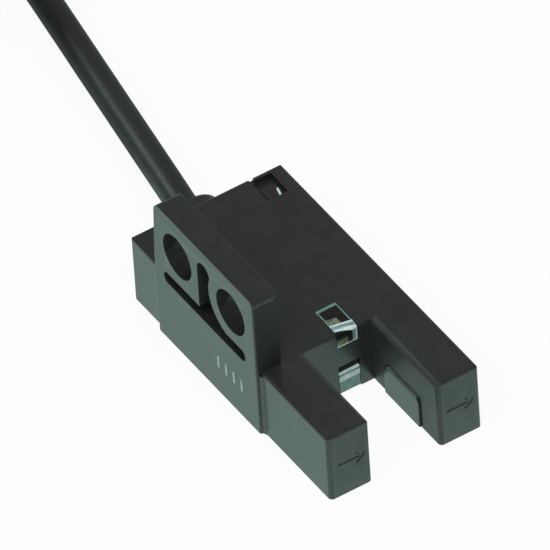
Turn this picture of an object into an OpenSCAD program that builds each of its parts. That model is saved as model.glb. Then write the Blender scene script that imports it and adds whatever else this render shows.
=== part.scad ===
// Slotted optical switch: a fork-shaped sensor with an upright mounting ear and a fixed cable.
// Millimetres. It stands on its underside, with the fork tips towards -Y and the cable towards +Y.
// X = 0 is the middle of the slot, Y = 0 the middle of the body's length, Z = 0 the underside.

/* [Body] */
// Width of the fork body
body_w = 11.15; // [10.6:0.05:12.5]
// Length of the fork body, from tips to back
body_l = 22.2; // [20.6:0.1:25]
// Height of the fork body
body_h = 5.2; // [5:0.05:6]
// Thickness of the outer walls
wall = 0.5; // [0.4:0.05:0.6]
// Thickness of the roof
roof_t = 0.7; // [0.6:0.05:0.8]
// Rounding of the outer edges
edge_r = 0.3; // [0.1:0.05:0.35]

/* [Slot] */
// Width of the slot between the prongs
slot_w = 5; // [4.6:0.1:5.4]
// Depth of the slot, from tips to slot base
slot_l = 7.4; // [7:0.1:9]
// Thickness of the walls beside the slot
slot_wall = 0.5; // [0.4:0.05:0.6]
// Rounding of the slot's upper edges
slot_r = 0.4; // [0.2:0.05:0.5]

/* [Mounting ear] */
// Length of the ear at its foot
ear_l = 11.5; // [10.8:0.1:13]
// Height of the ear above the underside
ear_h = 11.25; // [11:0.05:13]
// Thickness of the ear
ear_t = 1.85; // [1.5:0.05:2.2]
// How far the ear stands out from the body's side
ear_proud = 0.3; // [0.2:0.05:0.5]
// Distance from the slot base back to the ear's front
ear_setback = 0; // [0:0.1:1]
// How far the ear's back edge leans forward at its top
ear_lean = 0.4; // [0.2:0.05:0.6]
// Rounding of the ear's upper corners
ear_r = 0.7; // [0.4:0.05:0.9]
// Rounding of the ear's long edges
ear_edge = 0.15; // [0.1:0.05:0.3]
// Diameter of the screw holes
hole_d = 3.2; // [2.8:0.1:3.4]
// Distance from the ear's front to the front hole
hole_inset = 2.65; // [2.5:0.05:3]
// Distance between the screw holes
hole_pitch = 6; // [5.8:0.1:6.4]
// Distance from the ear's top down to the holes
hole_drop = 2.85; // [2.6:0.05:3]

/* [Ear recess] */
// Depth of the recess in the ear's outer face
recess_d = 1; // [0.6:0.05:1.2]
// Height of the level groove
groove_h = 0.9; // [0.6:0.05:1]
// How far the groove starts below the body's roof
groove_sink = 0.1; // [0:0.05:0.2]
// Distance from the ear's front to the groove
groove_front = 1.25; // [0.8:0.05:1.6]
// Distance from the groove to the ear's back
groove_back = 1.1; // [0.6:0.05:1.4]
// Width of the upright stem between the holes
stem_w = 1.4; // [1.1:0.05:1.5]
// Distance from the ear's top down to the stem
stem_drop = 1.15; // [0.9:0.05:1.6]
// Radius of the land kept round the front hole
land_r = 2.5; // [2.2:0.05:2.6]

/* [Light guide] */
// Width of the guide
guide_w = 1.5; // [1.2:0.05:1.8]
// Length of the guide along the roof
guide_l = 2.45; // [2:0.05:2.8]
// Distance from the slot's middle to the guide's middle
guide_x = 0.75; // [0.4:0.05:1]
// Height of the bar's lower edge
bar_low = 2.35; // [2:0.05:2.6]
// Height of the bar that the guide clips round
bar_h = 1.6; // [1.3:0.05:1.8]
// Height of the sloped shoulder under the bar
shoulder_h = 0.7; // [0.4:0.05:1]
// Rounding of the guide's upper bend
bend_r = 0.35; // [0.2:0.05:0.5]
// How far the guide stays above the underside
guide_lift = 0.1; // [0.05:0.05:0.3]

/* [Slot windows] */
// Length of a window
window_l = 3.9; // [3.4:0.1:4.2]
// Height of a window above the underside
window_h = 2.4; // [2.2:0.05:2.6]
// Distance from the slot base to a window
window_back = 1.4; // [1.2:0.1:1.8]
// How far a window stands out into the slot
window_proud = 0.15; // [0.05:0.05:0.2]
// Rounding of a window's upper corners
window_r = 0.4; // [0.2:0.05:0.6]
// Thickness of a window's inner flange
flange_t = 0.15; // [0.1:0.05:0.2]
// How far a flange laps the wall around it
flange_lap = 0.3; // [0.2:0.05:0.4]

/* [Rear indicator] */
// Width of the indicator's pocket
pocket_w = 1.5; // [1.4:0.05:1.7]
// Length of the pocket
pocket_l = 2; // [1.8:0.05:2.2]
// Depth of the pocket
pocket_d = 0.45; // [0.3:0.05:0.5]
// Distance from the body's side to the pocket
pocket_side = 1; // [0.95:0.05:1.2]
// Distance from the body's back to the pocket
pocket_back = 0.4; // [0.3:0.05:0.6]
// Width of the notch that opens the pocket at the back
notch_w = 0.4; // [0.2:0.05:0.6]
// Depth of the notch
notch_d = 0.35; // [0.2:0.05:0.45]
// Width of the lens neck
lens_w = 1.1; // [0.9:0.05:1.2]
// Length of the lens neck
lens_l = 1.1; // [0.9:0.05:1.2]
// How far the lens stands above the pocket's floor
lens_rise = 0.2; // [0.1:0.05:0.25]
// Thickness of the lens flange under the roof
lens_flange_t = 0.2; // [0.15:0.05:0.25]
// How far the lens flange laps the roof
lens_lap = 0.15; // [0.1:0.05:0.2]

/* [Base cover] */
// Thickness of the base cover
cover_t = 0.7; // [0.6:0.05:0.8]
// Thickness of the housing's rim round the cover
rim_t = 0.25; // [0.2:0.05:0.3]
// Gap round pieces that drop into an opening
fit = 0.04; // [0.02:0.01:0.06]

/* [Circuit board] */
// Thickness of the circuit board
board_t = 0.5; // [0.4:0.05:0.6]
// Space between the roof and the board
board_drop = 0.6; // [0.55:0.05:0.7]
// Gap between the board and the walls
board_gap = 0.15; // [0.1:0.05:0.2]
// Diameter of the posts that hold the board
post_d = 0.7; // [0.5:0.05:0.9]
// Height of the small chips
chip_h = 0.8; // [0.6:0.05:0.9]
// Length of a chip resistor or capacitor
chip_l = 1; // [0.8:0.05:1.2]
// Clear space between neighbouring chips
chip_gap = 0.2; // [0.15:0.05:0.3]

/* [Emitter and receiver] */
// Length of each package along the prong
opto_l = 2.6; // [2.2:0.1:3]
// Gap between a package and the base cover
opto_lift = 0.3; // [0.2:0.05:0.5]
// Gap between a package and the outer wall
opto_gap = 0.1; // [0.05:0.05:0.15]
// Thickness of each package
opto_t = 0.85; // [0.7:0.05:1]
// How far the lens dome stands out
dome_rise = 0.25; // [0.2:0.05:0.35]
// Radius of the lens dome
dome_r = 0.5; // [0.4:0.05:0.55]
// Diameter of the leads
lead_d = 0.3; // [0.2:0.05:0.35]
// Distance between neighbouring leads
lead_pitch = 0.7; // [0.55:0.05:0.8]

/* [Cable] */
// Diameter of the cable
cable_d = 2; // [1.8:0.05:2.3]
// Distance of the cable from the slot's middle
cable_x = -0.15; // [-0.6:0.05:0.6]
// Height of the cable where it leaves the body
cable_z = 2.6; // [2.4:0.05:2.8]
// Diameter of the collar round the cable
collar_d = 3.8; // [3.4:0.05:4]
// Length of the collar behind the body
collar_l = 1.4; // [1:0.1:2.5]
// Length of the crimp ring inside the body
crimp_l = 1.2; // [0.8:0.1:1.4]
// Wall of the crimp ring
crimp_t = 0.35; // [0.2:0.05:0.4]
// Length of jacket in front of the crimp ring
root_l = 0.4; // [0.2:0.1:0.6]
// Diameter of each insulated core
core_d = 0.5; // [0.4:0.02:0.56]

/* [Coil] */
// Diameter across the middle of the coil's turns
coil_d = 21; // [20:0.5:26]
// Turns side by side in the coil
coil_wide = 3; // [2:1:4]
// Turns on top of each other in the coil
coil_high = 5; // [3:1:6]
// Thickness of the tie round the coil
tie_t = 0.5; // [0.4:0.1:0.8]
// Width of the tie
tie_w = 3; // [2:0.5:4]

/* [Hidden] */
$fn = 48;
// Overrun of a cut past the face that it opens
cut = 1;

half_w = body_w / 2;
back_y = body_l / 2;
tip_y = -back_y;
slot_y = tip_y + slot_l;

// The hollow inside the body
hollow_x = half_w - wall;
hollow_front = tip_y + wall;
hollow_back = back_y - wall;
roof_z = body_h - roof_t;
prong_x = slot_w / 2 + slot_wall;
base_y = slot_y + slot_wall;

// The ear and its holes
ear_x = -half_w - ear_proud;
ear_y = slot_y + ear_setback;
hole_z = ear_h - hole_drop;
hole_ys = [ear_y + hole_inset, ear_y + hole_inset + hole_pitch];
hole_mid = (hole_ys[0] + hole_ys[1]) / 2;
groove_z = body_h - groove_sink;

// The light guide
guide_xs = [guide_x - guide_w / 2, guide_x + guide_w / 2];
guide_back = slot_y + guide_l;
bar_top = bar_low + bar_h;

// The slot windows
window_ys = [slot_y - window_back - window_l, slot_y - window_back];
window_mid = slot_y - window_back - window_l / 2;

// The rear indicator: its pocket, and the lens at the pocket's front
pocket_xs = [half_w - pocket_side - pocket_w, half_w - pocket_side];
pocket_ys = [back_y - pocket_back - pocket_l, back_y - pocket_back];
pocket_z = body_h - pocket_d;
lens_x = half_w - pocket_side - pocket_w / 2;
lens_y = pocket_ys[0] + lens_lap + lens_l / 2;

// The circuit board and what hangs under it
board_top = roof_z - board_drop;
board_z = board_top - board_t;
board_x = hollow_x - board_gap;
post_x = board_x - post_d;
post_ys = [guide_back, lens_y - lens_l / 2 - lens_lap - 1.5 * post_d];
opto_x = hollow_x - opto_gap - opto_t / 2;
opto_xs = [opto_x - opto_t / 2, opto_x + opto_t / 2];
dome_tip = opto_xs[0] - dome_rise;
opto_z = cover_t + opto_lift;
beam_z = (cover_t + window_h) / 2;
arm_x = prong_x + board_gap;
arm_tip = window_mid - opto_l / 2 - board_gap;
emitter_lead_ys = [for (i = [-1, 1]) window_mid + i * lead_pitch];
receiver_lead_ys = [for (i = [-1, 0, 1]) window_mid + i * lead_pitch];
lead_out = board_drop / 2;
lead_hole = lead_d + 2 * fit;
chip_w = chip_l / 2;
resistor_h = 0.35;
guide_led_l = 0.6;
// Two large chips side by side, with small ones between them and a second row behind them
driver_w = 2.4;
driver_l = 2.4;
transistor_w = 1.3;
transistor_l = 2;
diode_l = 1;
chip_y = guide_back + board_gap + guide_led_l + driver_l / 2;
chip_x = (driver_w - transistor_w) / 4;
small_ys = [for (i = [-1, 1]) chip_y + i * (chip_l + chip_gap) / 2];
resistor_y = chip_y + driver_l / 2 + chip_gap + chip_l / 2;
diode_y = chip_y + transistor_l / 2 + chip_gap + diode_l / 2;

// The cable where it passes the back wall
cable_r = cable_d / 2;
crimp_r = cable_r + crimp_t;
crimp_front = hollow_back - crimp_l;
root_front = crimp_front - root_l;
cable_exit = [cable_x, back_y + collar_l, cable_z];
core_r = core_d / 2;
core_sides = 8;
core_step = core_d + 3 * fit;
pad_step = 1.05;
// Places of the four cores in the cable's section: left, low, high and right
bundle = [[-1, 0], [0, -1], [0, 1], [1, 0]] * core_step / sqrt(2);
// Where a core leaves the bundle, is half way to its pad, lies flat and ends, in core diameters
core_fan = [0.8, 2.4, 4, 4.8];
core_flat_y = root_front - core_fan[2] * core_d;
pad_y = root_front - core_fan[3] * core_d;
pad_l = 0.8;
pad_r = 0.42;

// The coil, laid where the cable runs to
cord_sides = 8;
coil_rs = [coil_d / 2 - coil_wide * cable_r, coil_d / 2 + coil_wide * cable_r];
tie_gap = 0.1;
// The coil's inner side bows in across the tie's width
tie_in = sqrt(pow(coil_rs[0], 2) - pow(tie_w / 2, 2)) - tie_gap;
coil_z = tie_t + tie_gap;
coil_h = coil_high * cable_d;
coil_top = coil_z + coil_h;
coil_entry_r = coil_rs[1] - cable_r;
// The cable runs to the coil this many degrees off straight back
veer = 9;
// Middle of the coil, measured from the collar's mouth
coil_offset = [-6.4, 39];
coil_at = [cable_exit[0] + coil_offset[0], cable_exit[1] + coil_offset[1]];
tie_angle = 138;
// The cable's end lies on top of the coil, between these angles round it
tail_angles = [30, -120];
tail_step = 10;
tail_r = coil_d / 2;
tail_core_l = 9;
tail_core_step = 1.2;
tip_l = 3;
tip_d = 0.3;

// Points that the cable follows from the collar to the coil, measured from the collar's mouth
cable_route = [
    [0, 0, 0], [0, 0.5, 0], [0.1, 1.4, -0.01], [0.3, 2.6, -0.04], [0.63, 4.5, -0.14], [1.07, 7, -0.3],
    [1.62, 10, -0.55], [2.19, 13, -0.85], [2.74, 16, -1.1], [3.27, 19, -1.28], [3.77, 22, -1.4],
    [4.25, 25, -1.48], [4.71, 28, -1.5], [5.12, 31, -1.4]
];
run_in = 3;
// Turns a point of the coil's own frame into the part's frame, mirrored: the coil winds to the left
function coil_point(x, y, z) =
    [coil_at[0] - x * cos(veer) + y * sin(veer), coil_at[1] + x * sin(veer) + y * cos(veer), z];
cable_points = concat(
    [for (p = cable_route) cable_exit + p],
    [for (y = [-run_in, 0]) coil_point(-coil_entry_r, y, coil_z + cable_r)]
);
function tail_point(angle, r, z) = coil_point(r * cos(angle), r * sin(angle), z);
tail_points = [
    for (a = [tail_angles[0] : -tail_step : tail_angles[1]]) tail_point(a, tail_r, coil_top + cable_r)
];

tail_end = tail_points[len(tail_points) - 1];
tail_ahead = heading(tail_points, len(tail_points) - 1);
tail_side = unit(cross([0, 0, 1], tail_ahead));

// A tail core leaves the jacket straight, then falls and fans out over these shares of its length
tail_core_run = [0.25, 0.4, 0.55, 0.8, 1];
tail_core_fall = [0.4, 0.8, 1, 1, 1];
function tail_core(i) =
    let (start = tail_end + bundle[i][0] * tail_side + [0, 0, bundle[i][1]])
    concat(
        [start, start + core_d * tail_ahead],
        [
            for (k = [0 : len(tail_core_run) - 1])
                let (
                    fall = tail_core_fall[k],
                    r = tail_r - bundle[i][0] * (1 - fall) - (i - 1.5) * tail_core_step * fall,
                    angle = tail_angles[1] - tail_core_run[k] * tail_core_l / tail_r * 180 / PI,
                    z = (cable_r + bundle[i][1]) * (1 - fall) + core_r * fall
                )
                tail_point(angle, r, coil_top + z)
        ]
    );
// Points of one core inside the housing, from the jacket's end to its pad under the board
function inner_core(i) =
    let (
        x0 = cable_x + bundle[i][0],
        x1 = cable_x + (i - 1.5) * pad_step,
        z0 = cable_z + bundle[i][1],
        z1 = board_z - core_r
    )
    [
        [x0, root_front, z0],
        [x0, root_front - core_fan[0] * core_d, z0],
        [(x0 + x1) / 2, root_front - core_fan[1] * core_d, (z0 + z1) / 2],
        [x1, core_flat_y, z1],
        [x1, pad_y, z1]
    ];

// Swept tube with flats that stand the radius away from its line
function unit(v) = v / norm(v);
function heading(p, i) = unit(p[min(i + 1, len(p) - 1)] - p[max(i - 1, 0)]);
function tube_ring(p, i, r, sides) =
    let (
        ahead = heading(p, i),
        side = unit(cross(ahead, [0, 0, 1])),
        up = cross(side, ahead),
        corner = r / cos(180 / sides)
    )
    [
        for (k = [0 : sides - 1])
            let (a = 360 * (k + 0.5) / sides)
            p[i] + corner * (cos(a) * side + sin(a) * up)
    ];
module tube(p, r, sides) {
    last = len(p) - 1;
    points = [for (i = [0 : last]) each tube_ring(p, i, r, sides)];
    walls = [
        for (i = [0 : last - 1], k = [0 : sides - 1])
            let (n = (k + 1) % sides)
            [i * sides + k, (i + 1) * sides + k, (i + 1) * sides + n, i * sides + n]
    ];
    start = [for (k = [0 : sides - 1]) k];
    end = [for (k = [sides - 1 : -1 : 0]) last * sides + k];
    polyhedron(points, concat([start, end], walls));
}

// Box between two values on each axis
module box(x, y, z) {
    translate([x[0], y[0], z[0]])
        cube([x[1] - x[0], y[1] - y[0], z[1] - z[0]]);
}

// Rectangle with four round corners
module round_rect(x, y, r) {
    translate([x[0] + r, y[0]])
        square([x[1] - x[0] - 2 * r, y[1] - y[0]]);
    translate([x[0], y[0] + r])
        square([x[1] - x[0], y[1] - y[0] - 2 * r]);
    for (cx = [x[0] + r, x[1] - r], cy = [y[0] + r, y[1] - r])
        translate([cx, cy])
            circle(r);
}

// Upright outline from the floor line to z, with round upper corners
module arch(x, z, r) {
    translate([x[0], 0])
        square([x[1] - x[0], z - r]);
    translate([x[0] + r, 0])
        square([x[1] - x[0] - 2 * r, z]);
    for (cx = [x[0] + r, x[1] - r])
        translate([cx, z - r])
            circle(r);
}

// Outline in X and Z, pulled along Y
module along_y(y) {
    translate([0, y[1], 0])
        rotate([90, 0, 0])
            linear_extrude(y[1] - y[0])
                children();
}

// Outline in Y and Z, pulled along X
module along_x(x) {
    translate([x[0], 0, 0])
        rotate([90, 0, 90])
            linear_extrude(x[1] - x[0])
                children();
}

// Round rod along Y
module rod_y(x, z, y, r) {
    translate([x, y[0], z])
        rotate([-90, 0, 0])
            cylinder(r = r, h = y[1] - y[0]);
}

// What is cut away to round the upper edge of a wall: square stock less a round bar
module edge_stock(r) {
    difference() {
        square([r, r + cut]);
        circle(r);
    }
}

// Outside of the fork: its plan, with every upper edge rounded
module fork() {
    intersection() {
        linear_extrude(body_h)
            union() {
                round_rect([-half_w, half_w], [slot_y, back_y], edge_r);
                round_rect([-half_w, -slot_w / 2], [tip_y, slot_y + 2 * edge_r], edge_r);
                round_rect([slot_w / 2, half_w], [tip_y, slot_y + 2 * edge_r], edge_r);
            }
        along_y([tip_y - cut, back_y + cut])
            arch([-half_w, half_w], body_h, edge_r);
        along_x([-half_w - cut, half_w + cut])
            arch([tip_y, back_y], body_h, edge_r);
    }
}

// Rounds the upper edges along the two prongs and across the slot base
module slot_edges() {
    for (side = [0, 1])
        mirror([side, 0, 0])
            along_y([tip_y - cut, slot_y])
                translate([slot_w / 2 + slot_r, body_h - slot_r])
                    mirror([1, 0])
                        edge_stock(slot_r);
    along_x([-slot_w / 2, slot_w / 2])
        translate([slot_y + edge_r, body_h - edge_r])
            mirror([1, 0])
                edge_stock(edge_r);
}

// Side of the ear: upright to the roof, then its back edge leans forward up to a round corner
module ear_outline() {
    back = ear_y + ear_l;
    lean = atan(ear_lean / (ear_h - body_h));
    turn_y = back - ear_lean - ear_r * (1 - sin(lean)) / cos(lean);
    turn_z = ear_h - ear_r;
    polygon([
        [ear_y, 0],
        [back, 0],
        [back, body_h],
        [turn_y + ear_r * cos(lean), turn_z + ear_r * sin(lean)],
        [turn_y, turn_z],
        [turn_y, ear_h],
        [ear_y + ear_r, ear_h],
        [ear_y + ear_r, turn_z],
        [ear_y, turn_z]
    ]);
    for (y = [ear_y + ear_r, turn_y])
        translate([y, turn_z])
            circle(ear_r);
}

// Upright ear with round corners, and the small fillet at its front foot
module ear() {
    intersection() {
        along_x([ear_x, ear_x + ear_t])
            ear_outline();
        along_y([ear_y, ear_y + ear_l])
            arch([ear_x, ear_x + ear_t], ear_h, ear_edge);
        linear_extrude(ear_h)
            round_rect([ear_x, ear_x + ear_t], [ear_y, ear_y + ear_l], ear_edge);
    }
    linear_extrude(body_h - edge_r)
        polygon([
            [-half_w, ear_y - ear_proud],
            [-half_w + edge_r, ear_y + edge_r],
            [ear_x + ear_edge, ear_y]
        ]);
}

// Outline of the ear's recess: a level groove, and a stem that curves round the front hole's land
module ear_recess() {
    stem_back = hole_mid + stem_w / 2;
    stem_front = stem_back - stem_w;
    round_rect(
        [ear_y + groove_front, ear_y + ear_l - groove_back],
        [groove_z, groove_z + groove_h],
        groove_h / 2 - fit
    );
    difference() {
        union() {
            translate([stem_front, groove_z + groove_h / 2])
                square([stem_w, ear_h - stem_drop - stem_w / 2 - groove_z - groove_h / 2]);
            translate([stem_front + stem_w / 2, ear_h - stem_drop - stem_w / 2])
                circle(stem_w / 2);
            translate([hole_ys[0], groove_z + groove_h / 2])
                square([stem_back - hole_ys[0], hole_z - groove_z - groove_h / 2]);
        }
        translate([hole_ys[0], hole_z])
            circle(land_r);
    }
}

// Collar round the cable, with a rounded rim
module collar() {
    translate([cable_x, back_y - wall / 2, cable_z])
        rotate([-90, 0, 0])
            rotate_extrude() {
                square([collar_d / 2 - edge_r, collar_l + wall / 2]);
                square([collar_d / 2, collar_l + wall / 2 - edge_r]);
                translate([collar_d / 2 - edge_r, collar_l + wall / 2 - edge_r])
                    circle(edge_r);
            }
}

// The room inside the fork, and the wider seat for the base cover under it
module hollow() {
    box([-hollow_x, hollow_x], [base_y, hollow_back], [-cut, roof_z]);
    for (side = [0, 1])
        mirror([side, 0, 0]) {
            box([prong_x, hollow_x], [hollow_front, base_y + cut], [-cut, roof_z]);
            box([prong_x, half_w - rim_t], [tip_y + rim_t, base_y + cut], [-cut, cover_t]);
        }
    box([-half_w + rim_t, half_w - rim_t], [base_y, back_y - rim_t], [-cut, cover_t]);
}

// Opening for a slot window, in Y and Z
module window_outline(grow) {
    translate([0, -cut])
        arch([window_ys[0] - grow, window_ys[1] + grow], window_h + grow + cut, window_r);
}

// Opening for the light guide: the roof and the upper slot base, then the slot base under the bar
module guide_openings() {
    xs = [guide_xs[0] - fit, guide_xs[1] + fit];
    box(xs, [slot_y - cut, guide_back + fit], [bar_top, body_h + cut]);
    box(xs, [slot_y - cut, base_y + cut], [-cut, bar_low]);
}

// Pocket, notch and neck hole of the rear indicator
module indicator_openings() {
    box(pocket_xs, pocket_ys, [pocket_z, body_h + cut]);
    box([pocket_xs[0], pocket_xs[0] + notch_w], [pocket_ys[1] - edge_r, back_y + cut],
        [body_h - notch_d, body_h + cut]);
    box([lens_x - lens_w / 2 - fit, lens_x + lens_w / 2 + fit],
        [lens_y - lens_l / 2 - fit, lens_y + lens_l / 2 + fit],
        [roof_z - cut, body_h]);
}

module housing() {
    color("#26292a")
        union() {
            difference() {
                union() {
                    difference() {
                        fork();
                        slot_edges();
                    }
                    ear();
                    collar();
                }
                hollow();
                along_x([ear_x - cut, ear_x + recess_d])
                    ear_recess();
                for (y = hole_ys)
                    translate([ear_x - cut, y, hole_z])
                        rotate([0, 90, 0])
                            cylinder(d = hole_d, h = ear_t + 2 * cut);
                rod_y(cable_x, cable_z, [hollow_back - cut, back_y + collar_l + cut], cable_r + fit);
                for (side = [0, 1])
                    mirror([side, 0, 0])
                        along_x([slot_w / 2 - cut, prong_x + cut / 2])
                            window_outline(fit);
                guide_openings();
                indicator_openings();
            }
            for (x = [-post_x, post_x], y = post_ys)
                translate([x, y, board_top])
                    cylinder(d = post_d, h = board_drop + roof_t / 2);
        }
}

module base_cover() {
    color("#222526")
        difference() {
            box([-half_w + rim_t + fit, half_w - rim_t - fit],
                [tip_y + rim_t + fit, back_y - rim_t - fit], [0, cover_t]);
            box([-prong_x - fit, prong_x + fit], [tip_y - cut, base_y + fit], [-cut, cover_t + cut]);
            box([guide_xs[0] - fit, guide_xs[1] + fit], [base_y, guide_back + fit],
                [-cut, cover_t + cut]);
        }
}

// Clear C-shaped piece that clips round the bar and shows at the roof, slot base and underside
module light_guide() {
    color("#cfe6df", 0.6)
        along_x(guide_xs)
            difference() {
                union() {
                    translate([slot_y, guide_lift])
                        square([guide_l, body_h - bend_r - guide_lift]);
                    translate([slot_y + bend_r, guide_lift])
                        square([guide_l - bend_r, body_h - guide_lift]);
                    translate([slot_y + bend_r, body_h - bend_r])
                        circle(bend_r);
                }
                polygon([
                    [slot_y - cut, bar_low - shoulder_h],
                    [slot_y, bar_low - shoulder_h],
                    [base_y, bar_low],
                    [base_y, bar_top + fit],
                    [slot_y - cut, bar_top + fit]
                ]);
            }
}

module indicator_lens() {
    color("#d6ecd0", 0.6)
        union() {
            box([lens_x - lens_w / 2, lens_x + lens_w / 2], [lens_y - lens_l / 2, lens_y + lens_l / 2],
                [roof_z - lens_flange_t, pocket_z + lens_rise]);
            box([lens_x - lens_w / 2 - lens_lap, lens_x + lens_w / 2 + lens_lap],
                [lens_y - lens_l / 2 - lens_lap, lens_y + lens_l / 2 + lens_lap],
                [roof_z - lens_flange_t, roof_z]);
        }
}

// Dark filter that fills the opening in a prong, with a flange behind the wall
module slot_window() {
    color("#2b2326")
        union() {
            intersection() {
                along_x([slot_w / 2 - window_proud, prong_x])
                    window_outline(0);
                box([0, prong_x], [tip_y, slot_y], [0, body_h]);
            }
            box([prong_x, prong_x + flange_t],
                [window_ys[0] - flange_lap, window_ys[1] + flange_lap],
                [cover_t + fit, window_h + flange_lap]);
        }
}

module receiver_window() {
    slot_window();
}

module emitter_window() {
    mirror([1, 0, 0])
        slot_window();
}

module circuit_board() {
    color("#2f6b3f")
        difference() {
            union() {
                box([-board_x, board_x], [base_y + board_gap, hollow_back - board_gap],
                    [board_z, board_top]);
                for (side = [0, 1])
                    mirror([side, 0, 0])
                        box([arm_x, board_x], [arm_tip, base_y + 2 * board_gap], [board_z, board_top]);
            }
            box([guide_xs[0] - board_gap, guide_xs[1] + board_gap],
                [base_y - cut, guide_back + board_gap], [board_z - cut, board_top + cut]);
            box([cable_x - crimp_r - board_gap, cable_x + crimp_r + board_gap],
                [core_flat_y - board_gap, hollow_back + cut], [board_z - cut, board_top + cut]);
            for (y = emitter_lead_ys)
                translate([-opto_x, y, board_z - cut])
                    cylinder(d = lead_hole, h = board_t + 2 * cut);
            for (y = receiver_lead_ys)
                translate([opto_x, y, board_z - cut])
                    cylinder(d = lead_hole, h = board_t + 2 * cut);
        }
}

// Side-looking package with a lens dome towards the slot
module opto_package() {
    union() {
        box(opto_xs, [window_mid - opto_l / 2, window_mid + opto_l / 2], [opto_z, board_z]);
        intersection() {
            translate([dome_tip + dome_r, window_mid, beam_z])
                sphere(dome_r);
            box([dome_tip, opto_x], [tip_y, slot_y], [opto_z, board_z]);
        }
    }
}

module emitter() {
    color("#9fb4c8")
        mirror([1, 0, 0])
            opto_package();
}

module receiver() {
    color("#3a2f33")
        opto_package();
}

// Straight leads from a package up through the board
module lead_row(x, ys) {
    color("#c9c5b8")
        for (y = ys)
            translate([x, y, board_z])
                cylinder(d = lead_d, h = board_t + lead_out);
}

module emitter_leads() {
    lead_row(-opto_x, emitter_lead_ys);
}

module receiver_leads() {
    lead_row(opto_x, receiver_lead_ys);
}

// Moulded chip under the board, with flat feet along its two sides
module chip(x, y, w, l, feet) {
    foot = 0.3;
    foot_t = 0.15;
    box([x - w / 2, x + w / 2], [y - l / 2, y + l / 2], [board_z - chip_h, board_z]);
    for (side = [-1, 1], i = [0 : feet - 1])
        translate([
            x + side * (w + foot) / 2,
            y + (i - (feet - 1) / 2) * l / feet,
            board_z - foot_t / 2
        ])
            cube([foot + 2 * fit, foot, foot_t], center = true);
}

module driver_chip() {
    color("#1d1e20")
        chip(-board_x / 2, chip_y, driver_w, driver_l, 4);
}

module output_transistor() {
    color("#232427")
        chip(board_x / 2, chip_y, transistor_w, transistor_l, 2);
}

module protection_diode() {
    color("#232427")
        chip(board_x / 2, diode_y, diode_l, diode_l, 1);
}

// Row of small chips laid along X under the board
module chip_row(x, y, count, height) {
    for (i = [0 : count - 1])
        translate([x + (i - (count - 1) / 2) * 2 * chip_w, y, board_z - height / 2])
            cube([chip_w, chip_l, height], center = true);
}

module chip_resistors() {
    color("#2a2b30")
        union() {
            chip_row(-board_x / 2, resistor_y, 3, resistor_h);
            chip_row(chip_x, small_ys[0], 2, resistor_h);
        }
}

module chip_capacitors() {
    color("#b08a63")
        chip_row(chip_x, small_ys[1], 2, chip_w);
}

// Side-looking lamp that shines into the back of the light guide
module guide_led() {
    led_w = 1;
    color("#e8e6cf")
        box([guide_x - led_w / 2, guide_x + led_w / 2],
            [guide_back + board_gap, guide_back + board_gap + guide_led_l],
            [board_z - chip_h, board_z]);
}

// Flat lamp on top of the board, under the rear lens
module indicator_led() {
    led_l = 0.8;
    led_h = board_drop - lens_flange_t - 2 * fit;
    color("#e8e6cf")
        box([lens_x - chip_w / 2, lens_x + chip_w / 2], [lens_y - led_l / 2, lens_y + led_l / 2],
            [board_top, board_top + led_h]);
}

// Cones round the leads on top of the board, and mounds at the cores' ends under it
module solder_joints() {
    cone_foot = 0.18;
    cone_tip = 0.05;
    color("#d4d4cf")
        union() {
            for (joint = concat([for (y = emitter_lead_ys) [-opto_x, y]],
                                [for (y = receiver_lead_ys) [opto_x, y]]))
                translate([joint[0], joint[1], board_top])
                    difference() {
                        cylinder(
                            d1 = lead_d + 2 * cone_foot,
                            d2 = lead_d + 2 * cone_tip,
                            h = lead_out - cone_tip
                        );
                        translate([0, 0, -cut])
                            cylinder(d = lead_d, h = lead_out + 2 * cut);
                    }
            for (i = [0 : 3])
                intersection() {
                    rod_y(cable_x + (i - 1.5) * pad_step, board_z, [pad_y - pad_l, pad_y], pad_r);
                    box([-half_w, half_w], [pad_y - pad_l, pad_y], [0, board_z]);
                }
        }
}

// Jacket of the cable where it passes the collar and the crimp ring
module cable_root() {
    color("#1f2122")
        rod_y(cable_x, cable_z, [root_front, back_y + collar_l], cable_r);
}

// Metal ring that keeps the cable from pulling out of the back wall
module crimp_ring() {
    color("#b9bcbd")
        difference() {
            rod_y(cable_x, cable_z, [crimp_front, hollow_back], crimp_r);
            rod_y(cable_x, cable_z, [crimp_front - cut, hollow_back + cut], cable_r);
        }
}

module brown_core() {
    color("#6b4226")
        tube(inner_core(0), core_r, core_sides);
}

module blue_core() {
    color("#2c4f9e")
        tube(inner_core(1), core_r, core_sides);
}

module black_core() {
    color("#1b1b1c")
        tube(inner_core(2), core_r, core_sides);
}

module white_core() {
    color("#e6e4dd")
        tube(inner_core(3), core_r, core_sides);
}

module cable() {
    color("#1f2122")
        tube(cable_points, cable_r, cord_sides);
}

// Outer shape of the coil, with a step where the cable runs in
module cable_coil() {
    room = cable_r / cos(180 / cord_sides) + fit;
    color("#1f2122")
        translate([coil_at[0], coil_at[1], 0])
            rotate([0, 0, -veer])
                difference() {
                    rotate_extrude()
                        round_rect(coil_rs, [coil_z, coil_top], cable_r);
                    box([coil_entry_r - room, coil_rs[1] + cut], [-coil_rs[1], 0],
                        [coil_z - cut, coil_z + cable_r + room]);
                }
}

// Band round the coil's turns
module coil_tie() {
    color("#2b2d2e")
        translate([coil_at[0], coil_at[1], 0])
            rotate([0, 0, 180 - tie_angle - veer])
                along_y([-tie_w / 2, tie_w / 2])
                    difference() {
                        round_rect(
                            [tie_in - tie_t, coil_rs[1] + tie_gap + tie_t],
                            [0, coil_top + tie_gap + tie_t],
                            cable_r
                        );
                        round_rect(
                            [tie_in, coil_rs[1] + tie_gap],
                            [tie_t, coil_top + tie_gap],
                            cable_r - tie_t
                        );
                    }
}

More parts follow.
